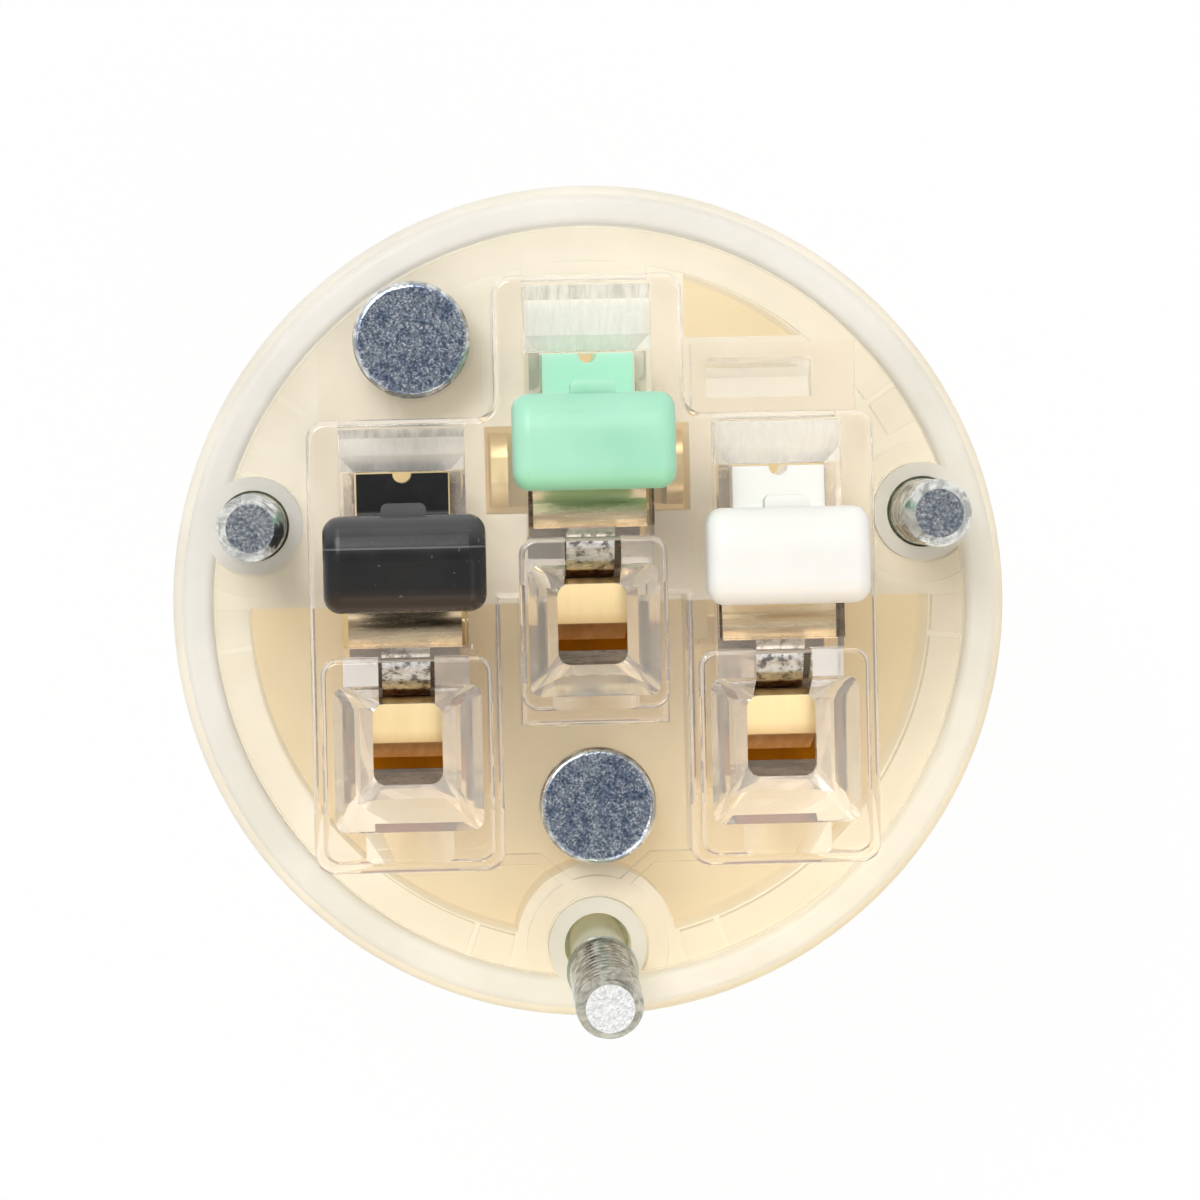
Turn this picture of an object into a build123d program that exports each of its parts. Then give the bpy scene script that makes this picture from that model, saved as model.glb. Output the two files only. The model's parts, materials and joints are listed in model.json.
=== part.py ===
import os
from math import cos, radians, sin

from build123d import *

os.makedirs("parts", exist_ok=True)

# Front body: a round nylon cup, its blade face at height 0 and its open wiring side up
body_diameter = 40.0
body_height = 12.0
register_step = 0.5
register_height = 1.8
rim_width = 1.95
seat_height = 10.0
seat_relief = 0.1
chamber_floor = 2.6
core_floor = 4.0
core_ledge = 0.75
boss_ledge = 1.5
crown_gap = 0.35
face_edge_radius = 0.5
rim_edge_radius = 0.4

# Clear cover: a flange in the cup's seat, with everything else standing on it
flange_thickness = 1.2
flange_clearance = 0.1
rib_width = 1.5
rib_height = 1.2
platform_height = 6.0
platform_wall = 1.8
platform_corner = 0.9
platform_edge = 0.35
tower_rise = 1.0
tower_corner = 0.8
tower_edge = 0.3
lug_width = 6.0
lug_depth = 0.7
block_width = 7.8
block_depth = 3.3
block_height = 2.2
block_wall = 0.7

# Terminal units, each measured from the middle of its own wire entry
line_spacing = 17.8
line_entry_y = -6.5
ground_entry_y = -1.0
column_width = 9.0
line_column_low = 6.0
line_tower_low = 5.5
line_tower_width = 8.1
line_mouth_low = 4.0
line_mouth_width = 7.0
line_ramp = 2.05
ground_column_low = 4.7
ground_tower_low = 3.95
ground_tower_width = 7.0
ground_mouth_low = 3.3
ground_mouth_width = 6.2
ground_ramp = 3.2
slot_high = 1.35
tower_high = 4.2
mouth_high = 2.9
end_wall = 0.45
lead_in = 0.8

# Wire entries
entry_width = 3.3
entry_length = 3.85
entry_corner = 0.6
entry_land = 0.6
funnel_depth = 2.8
saddle_radius = 4.5
saddle_depth = 0.5
probe_width = 2.65
probe_low = 1.95
probe_high = 4.0
window_width = 5.95
window_low = 4.7

# Brass terminals and steel clamp springs
strip_width = 5.4
plate_thickness = 0.8
plate_width = 3.5
shelf_length = 1.9
shelf_rise = 0.7
shelf_gap = 1.4
apron_reach = 0.9
apron_drop = 4.2
foot_low = 2.6
foot_lip = 0.35
ear_reach = 4.6
ear_length = 3.6
ear_back = 0.5
ear_height = 6.8
ear_round = 1.2
spring_thickness = 0.4
spring_reach = 2.9
spring_clearance = 0.4
loop_back = 7.2
loop_radius = 1.9
crest_radius = 3.0
crest_flat = 0.1
tongue_width = 2.3
tongue_high = 4.6
cage_drop = 4.6
cage_radius = 0.8
cage_width = 3.8
cage_low = 1.4
cage_high = 1.9
chamber_clearance = 0.3

# Push buttons
button_travel = 3.0
stem_width = 4.35
stem_depth = 4.25
stem_bottom = 8.0
stem_clearance = 0.08
stem_sink = 0.6
nose_gap = 0.1
nose_radius = 1.3
nose_height = 1.6
neck_depth = 1.9
head_width = 7.55
head_depth = 4.5
head_height = 3.5
head_overhang = 2.15
head_gap = 0.2
head_edge = 0.6
head_round = 0.9
head_end_round = 0.8
crest_round = 2.5
crest_depth = 1.5
crest_drop = 0.6
lip_width = 2.1
lip_depth = 0.55
lip_corner = 0.3
notch_radius = 0.45

# Blades and ground pin, on the standard spacing for this pattern
blade_spacing = 12.7
blade_y = -4.2
blade_thickness = 1.5
blade_width = 6.35
blade_length = 17.5
blade_hole_diameter = 3.2
blade_hole_depth = 11.7
blade_corner = 1.2
blade_tip = 0.4
tenon_width = 3.0
pin_rise = 11.9
pin_diameter = 4.75
pin_length = 20.6
pin_tip = 1.9
pin_root_diameter = 4.2
pin_tenon_diameter = 2.6
stake = 0.4
slot_clearance = 0.1

# Rivets that hold the cover to the body
upper_rivet = (-8.3, 12.7)
lower_rivet = (0.15, -9.75)
rivet_diameter = 3.0
rivet_clearance = 0.1
rivet_head_diameter = 5.6
rivet_head_height = 1.2
rivet_head_edge = 0.3
rivet_end_diameter = 4.6
rivet_end_height = 0.9
rivet_pad_diameter = 5.0
rivet_recess = 1.2
rivet_recess_clearance = 0.3

# Captive screws for the rear housing
screw_circle = 16.5
screw_angles = (166.0, 14.0, 270.0)
screw_lean = 6.0
screw_lift = 6.0
thread_diameter = 3.4
thread_length = 9.0
thread_chamfer = 0.45
neck_diameter = 2.7
neck_hole_clearance = 0.25
screw_head_diameter = 4.8
screw_head_height = 1.9
screw_head_clearance = 0.5
screw_slot_width = 0.8
screw_slot_depth = 0.9
web_thickness = 3.0
boss_diameter = 4.7
boss_clearance = 0.1
arch_width = 0.95
strut_width = 0.5
strut_knee = 2.7
strut_foot = 1.2
rib_gap_angle = 14.0
tab_angle = 6.5
tab_groove = 0.3

# Levels and radii that follow from the sizes above
body_radius = body_diameter / 2
register_radius = body_radius - register_step
seat_radius = body_radius - rim_width
flange_radius = seat_radius - flange_clearance
rib_outer_radius = flange_radius - flange_clearance
rib_inner_radius = rib_outer_radius - rib_width
flange_top = seat_height + flange_thickness
rib_top = flange_top + rib_height
platform_top = seat_height + platform_height
tower_top = platform_top + tower_rise
ceiling = platform_top - platform_wall
entry_top = tower_top - funnel_depth
entry_bottom = entry_top - entry_land
foot_top = chamber_floor + plate_thickness
stake_top = foot_top + stake
ridge_top = entry_bottom - shelf_gap
apron_level = ridge_top - apron_drop
plate_back = plate_thickness - apron_reach
loop_top = ceiling - spring_clearance / 2
loop_front = loop_back - loop_radius - crest_radius - crest_flat
cage_level = loop_top - cage_drop
spring_bottom = stake_top + 2 * spring_clearance
stem_front = loop_back + nose_gap + nose_radius
stem_back = stem_front + stem_depth
stem_top = platform_top - stem_sink
well_low = stem_front - 2 * chamber_clearance
well_high = stem_back + stem_clearance
head_front = stem_front - head_overhang
head_back = head_front + head_depth
head_bottom = platform_top + button_travel + head_gap
head_top = head_bottom + head_height
chamber_low = -spring_reach - chamber_clearance
chamber_high = well_high
chamber_width = strip_width + 2 * chamber_clearance
gusset_drop = (chamber_width - probe_width) / 2
line_x = line_spacing / 2
blade_x = blade_spacing / 2
ground_pin_y = blade_y + pin_rise
ear_y = ground_pin_y + ear_back - ear_length / 2
line_foot_high = blade_y + tenon_width / 2 + foot_lip - line_entry_y
foot_outer = line_x + strip_width / 2
foot_inner = blade_x - blade_thickness / 2 - foot_lip
ground_foot_high = ground_pin_y + strip_width / 2 - ground_entry_y
cup_floor = seat_height - seat_relief
slot_x = (line_spacing - column_width - platform_corner) / 2
arch_radius = boss_diameter / 2 + boss_clearance + arch_width
strut_y = line_entry_y - line_column_low + strut_width / 2
block_y = line_entry_y + well_high + line_ramp + end_wall + block_depth / 2
web_bottom = body_height - web_thickness
web_middle = body_height - web_thickness / 2
neck_length = web_thickness + screw_lift
lean_drop = screw_head_diameter / 2 * sin(radians(screw_lean)) + boss_clearance


# One row for each terminal unit: name, place and the sizes that differ
units = (
    ("hot", -line_x, line_entry_y, line_column_low, line_tower_low, line_tower_width,
     line_mouth_low, line_mouth_width, line_ramp),
    ("neutral", line_x, line_entry_y, line_column_low, line_tower_low, line_tower_width,
     line_mouth_low, line_mouth_width, line_ramp),
    ("ground", 0, ground_entry_y, ground_column_low, ground_tower_low, ground_tower_width,
     ground_mouth_low, ground_mouth_width, ground_ramp),
)
screw_places = [
    (screw_circle * cos(radians(angle)), screw_circle * sin(radians(angle)))
    for angle in screw_angles
]


def level(x, y, z):
    """A drawing plane that lies flat at one height."""
    return Plane(origin=(x, y, z))


def upright(x, y):
    """A drawing plane through a unit's middle: across is photo up, up is toward the camera."""
    return Plane(origin=(x, y, 0), x_dir=(0, 1, 0), z_dir=(1, 0, 0))


def ray(angle, radius):
    """A point on a circle about the plug's axis."""
    return (radius * cos(radians(angle)), radius * sin(radians(angle)))


def span(width, low, high, mode=Mode.ADD):
    """A rectangle in a sketch, centred across and running from low to high."""
    with Locations((0, (low + high) / 2)):
        Rectangle(width, high - low, mode=mode)


# Front body
with BuildPart() as front_body:
    with BuildSketch(Plane.XZ):
        with BuildLine():
            FilletPolyline(
                (0, 0),
                (body_radius, 0),
                (body_radius, body_height - register_height),
                (register_radius, body_height - register_height),
                (register_radius, body_height),
                (seat_radius, body_height),
                (seat_radius, cup_floor),
                (0, cup_floor),
                radius=[0, face_edge_radius, rim_edge_radius, 0, rim_edge_radius, rim_edge_radius, 0, 0],
                close=True,
            )
        make_face()
    revolve(axis=Axis.Z)
    # Bosses for the screws
    for boss_x, boss_y in screw_places:
        with BuildSketch(level(boss_x, boss_y, web_bottom)):
            Circle(boss_diameter / 2)
        extrude(amount=web_thickness)
    # Pads that the cover is riveted down on
    with BuildSketch(level(0, 0, cup_floor)):
        with Locations(upper_rivet, lower_rivet):
            Circle(rivet_pad_diameter / 2)
    extrude(amount=seat_relief)
    # Cored pockets beside and below the terminal chambers, and one beside the ground column
    with BuildSketch(level(0, 0, core_floor)):
        Circle(rib_inner_radius)
        with Locations((0, body_radius - line_entry_y - line_tower_low - core_ledge)):
            Rectangle(line_spacing + column_width, 2 * body_radius, mode=Mode.SUBTRACT)
        with Locations((0, body_radius)):
            Rectangle(2 * body_radius, 2 * body_radius, mode=Mode.SUBTRACT)
        with Locations(*screw_places):
            Circle(boss_diameter / 2 + boss_ledge, mode=Mode.SUBTRACT)
    extrude(amount=seat_height - core_floor, mode=Mode.SUBTRACT)
    with BuildSketch(level(0, 0, core_floor)):
        with Locations((column_width / 2 + crown_gap, block_y + block_depth / 2 + crown_gap)):
            Rectangle(body_radius, body_radius, align=(Align.MIN, Align.MIN))
        Circle(rib_inner_radius, mode=Mode.INTERSECT)
    extrude(amount=seat_height - core_floor, mode=Mode.SUBTRACT)
    # Terminal chambers
    for name, x, y, *sizes in units:
        with BuildSketch(level(x, y, chamber_floor)):
            span(chamber_width, chamber_low, chamber_high)
        extrude(amount=seat_height - chamber_floor, mode=Mode.SUBTRACT)
    # Room for the ground terminal's ears and for the feet that reach across to the blades
    with BuildSketch(level(0, ear_y, chamber_floor)):
        Rectangle(2 * (ear_reach + chamber_clearance), ear_length + 2 * chamber_clearance)
    extrude(amount=seat_height - chamber_floor, mode=Mode.SUBTRACT)
    for side in (-1, 1):
        inner = foot_inner - chamber_clearance
        outer = line_x + chamber_width / 2
        with BuildSketch(level(side * (inner + outer) / 2, line_entry_y, chamber_floor)):
            span(outer - inner, -foot_low - chamber_clearance, line_foot_high + chamber_clearance)
        extrude(amount=seat_height - chamber_floor, mode=Mode.SUBTRACT)
        with BuildSketch(level(side * blade_x, blade_y, 0)):
            Rectangle(blade_thickness + 2 * slot_clearance, blade_width + 2 * slot_clearance)
        extrude(amount=chamber_floor, mode=Mode.SUBTRACT)
    with BuildSketch(level(0, ground_pin_y, 0)):
        Circle(pin_root_diameter / 2 + slot_clearance)
    extrude(amount=chamber_floor, mode=Mode.SUBTRACT)
    # Screw and rivet holes, opened out from the blade face
    for boss_x, boss_y in screw_places:
        with BuildSketch(level(boss_x, boss_y, 0)):
            Circle(screw_head_diameter / 2 + screw_head_clearance)
        extrude(amount=web_bottom, mode=Mode.SUBTRACT)
        with BuildSketch(level(boss_x, boss_y, 0)):
            Circle(neck_diameter / 2 + neck_hole_clearance)
        extrude(amount=body_height, mode=Mode.SUBTRACT)
    for rivet_x, rivet_y in (upper_rivet, lower_rivet):
        with BuildSketch(level(rivet_x, rivet_y, 0)):
            Circle(rivet_diameter / 2 + rivet_clearance)
        extrude(amount=seat_height, mode=Mode.SUBTRACT)
        with BuildSketch(level(rivet_x, rivet_y, 0)):
            Circle(rivet_end_diameter / 2 + rivet_recess_clearance)
        extrude(amount=rivet_recess, mode=Mode.SUBTRACT)
front_body.part.label = "front_body"
export_step(front_body.part, "parts/front_body.step")

# Clear terminal cover
with BuildPart() as terminal_cover:
    with BuildSketch(level(0, 0, seat_height)):
        Circle(flange_radius)
    extrude(amount=flange_thickness)
    # Rib round the flange, open at the screws, with a locating tab at each end, struts from the columns
    # to the lower screw, arched walls round the screw bosses, the upper rivet's pad and the top lug
    ground_end = ground_entry_y + well_high + ground_ramp + end_wall
    with BuildSketch(level(0, 0, flange_top)):
        Circle(rib_outer_radius)
        Circle(rib_inner_radius, mode=Mode.SUBTRACT)
        for angle in screw_angles:
            with BuildLine():
                Polyline(
                    (0, 0),
                    ray(angle - rib_gap_angle, body_diameter),
                    ray(angle + rib_gap_angle, body_diameter),
                    close=True,
                )
            make_face(mode=Mode.SUBTRACT)
            for turn in (-1, 1):
                with Locations(Rotation(0, 0, angle + turn * (rib_gap_angle + tab_angle))):
                    with Locations((flange_radius, 0)):
                        Rectangle(4 * rib_width, tab_groove, mode=Mode.SUBTRACT)
        for side in (-1, 1):
            with BuildLine():
                Polyline(
                    (side * line_x, strut_y),
                    (side * strut_knee, strut_y),
                    (side * strut_foot, screw_places[-1][1] + arch_radius - arch_width / 2),
                )
            trace(line_width=strut_width)
        with Locations(*screw_places):
            Circle(arch_radius)
        with Locations(upper_rivet):
            Circle(rivet_head_diameter / 2 + boss_clearance)
        with Locations((0, ground_end)):
            Rectangle(lug_width, 2 * lug_depth)
        Circle(rib_outer_radius, mode=Mode.INTERSECT)
    extrude(amount=rib_height)
    # Blocks beside the ground column
    for side in (-1, 1):
        with BuildSketch(level(side * line_x, block_y, seat_height)):
            Rectangle(block_width, block_depth)
        extrude(amount=flange_thickness + block_height)
    block_low = block_y - block_depth / 2 + block_wall
    block_high = block_y + block_depth / 2 - block_wall
    with BuildSketch(upright(line_x - block_wall, 0)):
        with BuildLine():
            Polyline(
                (block_low, flange_top + block_height),
                (block_low, flange_top + block_wall),
                (block_y, flange_top),
                (block_high, flange_top + block_height),
                close=True,
            )
        make_face()
    extrude(amount=block_width / 2 - 2 * block_wall, both=True, mode=Mode.SUBTRACT)
    with BuildSketch(level(*upper_rivet, rib_top)):
        Circle(rivet_head_diameter / 2 + 2 * boss_clearance)
    extrude(amount=block_height, mode=Mode.SUBTRACT)
    # Raised platform: the three columns as one outline, notched for the upper rivet
    with BuildSketch(level(0, 0, flange_top)) as platform:
        for name, x, y, column_low, tower_low, tower_width, mouth_low, mouth_width, ramp in units:
            with Locations((x, y)):
                span(column_width, -column_low, well_high + ramp + end_wall)
        fillet(platform.vertices(), radius=platform_corner)
        with Locations(upper_rivet):
            Circle(rivet_head_diameter / 2 + 2 * platform_edge, mode=Mode.SUBTRACT)
        # Slots beside the ground column, open towards the lower rivet
        with Locations((-slot_x, ground_entry_y), (slot_x, ground_entry_y)):
            span(platform_corner, -ground_column_low - 2 * platform_corner, slot_high, Mode.SUBTRACT)
    extrude(amount=platform_top - flange_top)
    top_face = terminal_cover.faces().sort_by(Axis.Z)[-1]
    fillet(top_face.outer_wire().edges(), radius=platform_edge)
    # Towers for the wire entries
    for name, x, y, column_low, tower_low, tower_width, mouth_low, mouth_width, ramp in units:
        with BuildSketch(level(x, y, ceiling)):
            with Locations((0, (tower_high - tower_low) / 2)):
                RectangleRounded(tower_width, tower_high + tower_low, tower_corner)
        extrude(amount=tower_top - ceiling)
    tower_faces = terminal_cover.faces().filter_by(Axis.Z).group_by(Axis.Z)[-1]
    fillet([edge for face in tower_faces for edge in face.outer_wire().edges()], radius=tower_edge)
    # Notches for the screw bosses and holes for the rivets
    with BuildSketch(level(0, 0, seat_height)):
        with Locations(*screw_places):
            Circle(boss_diameter / 2 + boss_clearance)
        with Locations(upper_rivet, lower_rivet):
            Circle(rivet_diameter / 2 + rivet_clearance)
    extrude(amount=rib_top - seat_height, mode=Mode.SUBTRACT)
    for name, x, y, column_low, tower_low, tower_width, mouth_low, mouth_width, ramp in units:
        # Chamber under the platform, lower under the wire entry
        with BuildSketch(level(x, y, seat_height)):
            span(chamber_width, chamber_low, chamber_high)
        extrude(amount=entry_bottom - seat_height, mode=Mode.SUBTRACT)
        with BuildSketch(level(x, y, seat_height)):
            span(chamber_width, probe_low, chamber_high)
        extrude(amount=ceiling - seat_height, mode=Mode.SUBTRACT)
        # Gussets beside the tongue, sloped underneath
        for side in (-1, 1):
            with BuildSketch(Plane(
                origin=(x, y + tower_high, 0),
                x_dir=(1, 0, 0),
                z_dir=(0, -1, 0),
            )):
                with BuildLine():
                    Polyline(
                        (side * probe_width / 2, ceiling),
                        (side * chamber_width / 2, ceiling),
                        (side * chamber_width / 2, ceiling - gusset_drop),
                        close=True,
                    )
                make_face()
            extrude(amount=tower_high - probe_low)
        # Button well: a sloped tool ramp above, and a bevelled lead-in round the stem below it
        with BuildSketch(level(x, y, platform_top)):
            span(window_width, well_low, well_high + ramp)
        with BuildSketch(level(x, y, ceiling + lead_in)):
            span(window_width, well_low, well_high + lead_in)
        loft(mode=Mode.SUBTRACT)
        with BuildSketch(level(x, y, ceiling + lead_in)):
            span(window_width, well_low, well_high + lead_in)
        with BuildSketch(level(x, y, ceiling)):
            span(stem_width + 2 * stem_clearance, well_low, well_high)
        loft(mode=Mode.SUBTRACT)
        # Hollow under the ramp, open to the chamber
        with BuildSketch(upright(x, y)):
            with BuildLine():
                Polyline(
                    (well_high - stem_clearance, seat_height),
                    (well_high + ramp, seat_height),
                    (well_high, seat_height + ramp),
                    (well_high - stem_clearance, seat_height + ramp),
                    close=True,
                )
            make_face()
        extrude(amount=chamber_width / 2, both=True, mode=Mode.SUBTRACT)
        # Window over the spring's loop and slot over its tongue
        with BuildSketch(level(x, y, ceiling)):
            span(window_width, window_low, well_low)
        extrude(amount=platform_wall, mode=Mode.SUBTRACT)
        with BuildSketch(level(x, y, ceiling)):
            span(probe_width, probe_low, probe_high)
        extrude(amount=tower_top - ceiling, mode=Mode.SUBTRACT)
        # Funnel down to the wire entry
        with BuildSketch(level(x, y, tower_top)):
            with Locations((0, (mouth_high - mouth_low) / 2)):
                RectangleRounded(mouth_width, mouth_high + mouth_low, entry_corner)
        with BuildSketch(level(x, y, entry_top)):
            RectangleRounded(entry_width, entry_length, entry_corner)
        loft(mode=Mode.SUBTRACT)
        with BuildSketch(level(x, y, entry_bottom)):
            RectangleRounded(entry_width, entry_length, entry_corner)
        extrude(amount=entry_land, mode=Mode.SUBTRACT)
        # Saddle in the tower's lower wall
        with BuildSketch(Plane(
            origin=(x, y - mouth_low, tower_top + saddle_radius - saddle_depth),
            x_dir=(1, 0, 0),
            z_dir=(0, -1, 0),
        )):
            Circle(saddle_radius)
        extrude(amount=tower_low - mouth_low, mode=Mode.SUBTRACT)
terminal_cover.part.label = "terminal_cover"
export_step(terminal_cover.part, "parts/terminal_cover.step")


# Push button: a wide head on a narrow stem, with a nose that bears on the spring's loop
def make_button(x, y):
    with BuildPart() as button:
        with BuildSketch(upright(x, y)):
            with BuildLine():
                FilletPolyline(
                    (head_front, head_bottom),
                    (head_back, head_bottom),
                    (head_back, head_top - crest_drop),
                    (head_back - crest_depth, head_top),
                    (head_front, head_top - crest_drop / 2),
                    radius=[head_round, head_round, head_round, crest_round, head_round],
                    close=True,
                )
            make_face()
        extrude(amount=head_width / 2, both=True)
        fillet(button.faces().filter_by(Axis.X).edges(), radius=head_end_round)
        with BuildSketch(upright(x, y)):
            with BuildLine():
                FilletPolyline(
                    (stem_front, stem_bottom),
                    (stem_back, stem_bottom),
                    (stem_back, stem_top),
                    (stem_front + neck_depth, stem_top),
                    (stem_front + neck_depth, head_bottom + head_edge),
                    (stem_front, head_bottom + head_edge),
                    radius=[head_edge, head_edge, 0, stem_sink, 0, 0],
                    close=True,
                )
            make_face()
            with Locations((stem_front, stem_bottom + nose_height)):
                Circle(nose_radius)
        extrude(amount=stem_width / 2, both=True)
        with BuildSketch(level(x, y, head_bottom + head_edge)) as lip:
            span(lip_width, head_back - head_edge, head_back + lip_depth)
            fillet(lip.vertices().group_by(Axis.Y)[-1], radius=lip_corner)
        extrude(amount=head_height / 2)
        with BuildSketch(level(x, y + stem_back, head_bottom)):
            Circle(notch_radius)
        extrude(amount=stem_bottom - head_bottom, mode=Mode.SUBTRACT)
    return button.part


# Clamp spring: one strip bent into a loop, necked to a tongue, ending in the cage the wire goes through
def make_spring(x, y):
    with BuildPart() as spring:
        with BuildSketch(upright(x, y)):
            with BuildLine():
                FilletPolyline(
                    (plate_back, apron_level - plate_thickness),
                    (plate_back, spring_bottom),
                    (loop_back, spring_bottom),
                    (loop_back, loop_top),
                    (loop_front, loop_top),
                    (loop_front, cage_level),
                    (-spring_reach, cage_level),
                    radius=[2 * spring_thickness, loop_radius, loop_radius, crest_radius, cage_radius],
                )
                offset(amount=spring_thickness, side=Side.LEFT)
            make_face()
        extrude(amount=strip_width / 2, both=True)
        with BuildSketch(level(x, y, cage_level + spring_thickness)):
            span(strip_width, loop_front - spring_clearance, tongue_high)
            span(tongue_width, loop_front - spring_clearance, tongue_high, Mode.SUBTRACT)
        extrude(amount=loop_top - cage_level, mode=Mode.SUBTRACT)
        with BuildSketch(level(x, y, cage_level)):
            span(cage_width, -cage_low, cage_high)
        extrude(amount=-2 * spring_thickness, mode=Mode.SUBTRACT)
    return spring.part


# Brass terminal: a bent plate with a sloped shelf above, an apron down to the floor and a foot along it
def make_terminal(x, y, foot_left, foot_right, foot_high, hole, ear_sides):
    with BuildPart() as terminal:
        with BuildSketch(upright(x, y)):
            with BuildLine():
                Polyline(
                    (-apron_reach, chamber_floor),
                    (-apron_reach, apron_level),
                    (0, ridge_top),
                    (shelf_length, ridge_top + shelf_rise),
                )
                offset(amount=plate_thickness, side=Side.RIGHT)
            make_face()
        extrude(amount=plate_width / 2, both=True)
        with BuildSketch(level((foot_left + foot_right) / 2, y, chamber_floor)):
            span(foot_right - foot_left, -foot_low, foot_high)
        extrude(amount=plate_thickness)
        for side in ear_sides:
            with BuildSketch(level(side * ear_reach / 2, ear_y, chamber_floor)):
                Rectangle(ear_reach, ear_length)
            extrude(amount=plate_thickness)
            with BuildSketch(Plane(
                origin=(side * ear_reach, ear_y, chamber_floor),
                x_dir=(0, 1, 0),
                z_dir=(1, 0, 0),
            )):
                with Locations((0, ear_height / 2 - ear_round)):
                    RectangleRounded(ear_length, ear_height + 2 * ear_round, ear_round)
                with Locations((0, -ear_height)):
                    Rectangle(ear_length, 2 * ear_height, mode=Mode.SUBTRACT)
            extrude(amount=-side * plate_thickness)
        with BuildSketch(level(0, 0, chamber_floor)):
            add(hole)
        extrude(amount=plate_thickness, mode=Mode.SUBTRACT)
    return terminal.part


# Flat blade with a tenon staked through the terminal's foot
def make_blade(x):
    with BuildPart() as blade:
        with BuildSketch(level(x, blade_y, -blade_length)):
            Rectangle(blade_thickness, blade_width)
        extrude(amount=blade_length + chamber_floor)
        fillet(blade.edges().filter_by(Axis.X).group_by(Axis.Z)[0], radius=blade_corner)
        chamfer(blade.faces().sort_by(Axis.Z)[0].edges().filter_by(Axis.Y), length=blade_tip)
        with BuildSketch(Plane(origin=(x, blade_y, -blade_hole_depth), x_dir=(0, 1, 0), z_dir=(1, 0, 0))):
            Circle(blade_hole_diameter / 2)
        extrude(amount=blade_thickness, both=True, mode=Mode.SUBTRACT)
        with BuildSketch(level(x, blade_y, chamber_floor)):
            Rectangle(blade_thickness, tenon_width)
        extrude(amount=stake_top - chamber_floor)
    return blade.part


# Rivet: flat head on the cover, formed end in a recess of the blade face
def make_rivet(place, head_seat):
    rivet_plane = Plane(origin=(*place, 0), x_dir=(1, 0, 0), z_dir=(0, -1, 0))
    with BuildPart() as rivet:
        with BuildSketch(rivet_plane):
            with BuildLine():
                FilletPolyline(
                    (0, rivet_recess - rivet_end_height),
                    (rivet_end_diameter / 2, rivet_recess - rivet_end_height),
                    (rivet_end_diameter / 2, rivet_recess),
                    (rivet_diameter / 2, rivet_recess),
                    (rivet_diameter / 2, head_seat),
                    (rivet_head_diameter / 2, head_seat),
                    (rivet_head_diameter / 2, head_seat + rivet_head_height),
                    (0, head_seat + rivet_head_height),
                    radius=[0, rivet_head_edge, 0, 0, 0, 0, rivet_head_edge, 0],
                    close=True,
                )
            make_face()
        revolve(axis=Axis((*place, 0), (0, 0, 1)))
    return rivet.part


# Captive screw: head in the body, thin neck through the web, thread standing free above it
def make_screw(place, lift, lean):
    axis_way = (0, -sin(radians(lean)), cos(radians(lean)))
    origin = (*place, web_middle)
    screw_plane = Plane(origin=origin, x_dir=(1, 0, 0), z_dir=(0, -cos(radians(lean)), -sin(radians(lean))))
    thread_bottom = web_thickness / 2 + lift
    neck_bottom = thread_bottom - neck_length
    head_base = neck_bottom - screw_head_height
    tip = thread_bottom + thread_length
    with BuildPart() as screw:
        with BuildSketch(screw_plane):
            with BuildLine():
                Polyline(
                    (0, head_base),
                    (screw_head_diameter / 2, head_base),
                    (screw_head_diameter / 2, neck_bottom),
                    (neck_diameter / 2, neck_bottom),
                    (neck_diameter / 2, thread_bottom),
                    (thread_diameter / 2, thread_bottom),
                    (thread_diameter / 2, tip - thread_chamfer),
                    (thread_diameter / 2 - thread_chamfer, tip),
                    (0, tip),
                    close=True,
                )
            make_face()
        revolve(axis=Axis(origin, axis_way))
        with BuildSketch(screw_plane):
            with Locations((0, head_base + screw_slot_depth / 2)):
                Rectangle(screw_slot_width, screw_slot_depth)
        extrude(amount=screw_head_diameter, both=True, mode=Mode.SUBTRACT)
    return screw.part


# Ground pin with a round tip, its shoulder against the blade face
with BuildPart() as ground_pin:
    with BuildSketch(level(0, ground_pin_y, -pin_length)):
        Circle(pin_diameter / 2)
    extrude(amount=pin_length)
    fillet(ground_pin.edges().sort_by(Axis.Z)[0], radius=pin_tip)
    with BuildSketch(level(0, ground_pin_y, 0)):
        Circle(pin_root_diameter / 2)
    extrude(amount=chamber_floor)
    with BuildSketch(level(0, ground_pin_y, chamber_floor)):
        Circle(pin_tenon_diameter / 2)
    extrude(amount=stake_top - chamber_floor)
ground_pin.part.label = "ground_pin"
export_step(ground_pin.part, "parts/ground_pin.step")

# Holes in the feet for the staked tenons
with BuildSketch() as hot_hole:
    with Locations((-blade_x, blade_y)):
        Rectangle(blade_thickness, tenon_width)
with BuildSketch() as neutral_hole:
    with Locations((blade_x, blade_y)):
        Rectangle(blade_thickness, tenon_width)
with BuildSketch() as ground_hole:
    with Locations((0, ground_pin_y)):
        Circle(pin_tenon_diameter / 2)

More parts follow.
